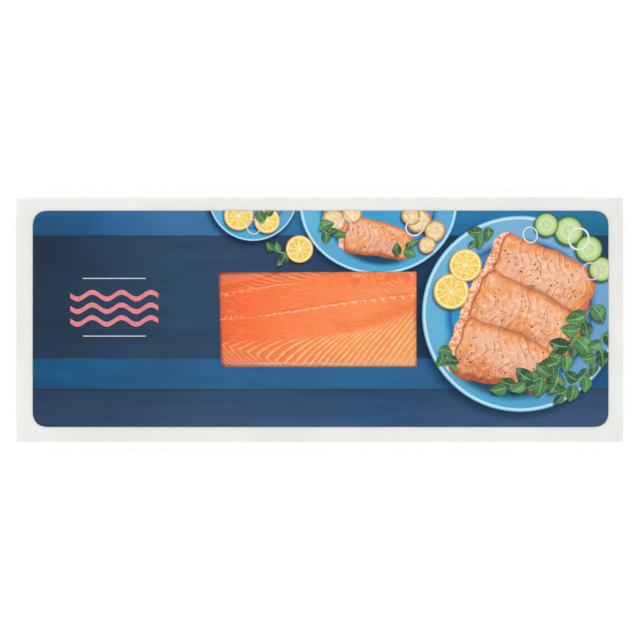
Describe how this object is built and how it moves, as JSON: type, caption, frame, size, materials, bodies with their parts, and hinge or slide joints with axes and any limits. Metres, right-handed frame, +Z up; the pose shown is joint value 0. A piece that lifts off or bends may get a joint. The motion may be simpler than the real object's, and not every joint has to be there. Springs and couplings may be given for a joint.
{
  "type": "packed raw salmon side",
  "caption": "Long shallow sealed tray pack holding a raw salmon side, seen through the clear window of its printed lid.",
  "frame": {"origin": "centre of the pack's outline, on the plane that the tray's base rests on", "axes": "+X along the pack from the tail to the head end, +Y towards the back of the fish, which is up in the picture, +Z up out of the lid"},
  "size_m": [0.6, 0.242, 0.0353],
  "materials": {
    "tray_plastic": "satin thermoformed sheet, light warm grey",
    "clear_film": "clear glossy lidding film",
    "printed_ink": null,
    "salmon_flesh": "moist satin raw flesh with pale lines, silver-grey skin below"
  },
  "bodies": {
    "root": {"tray": "tray_plastic", "lid_film": "clear_film", "printed_panel": "printed_ink", "salmon_side": "salmon_flesh"}
  },
  "joints": []
}
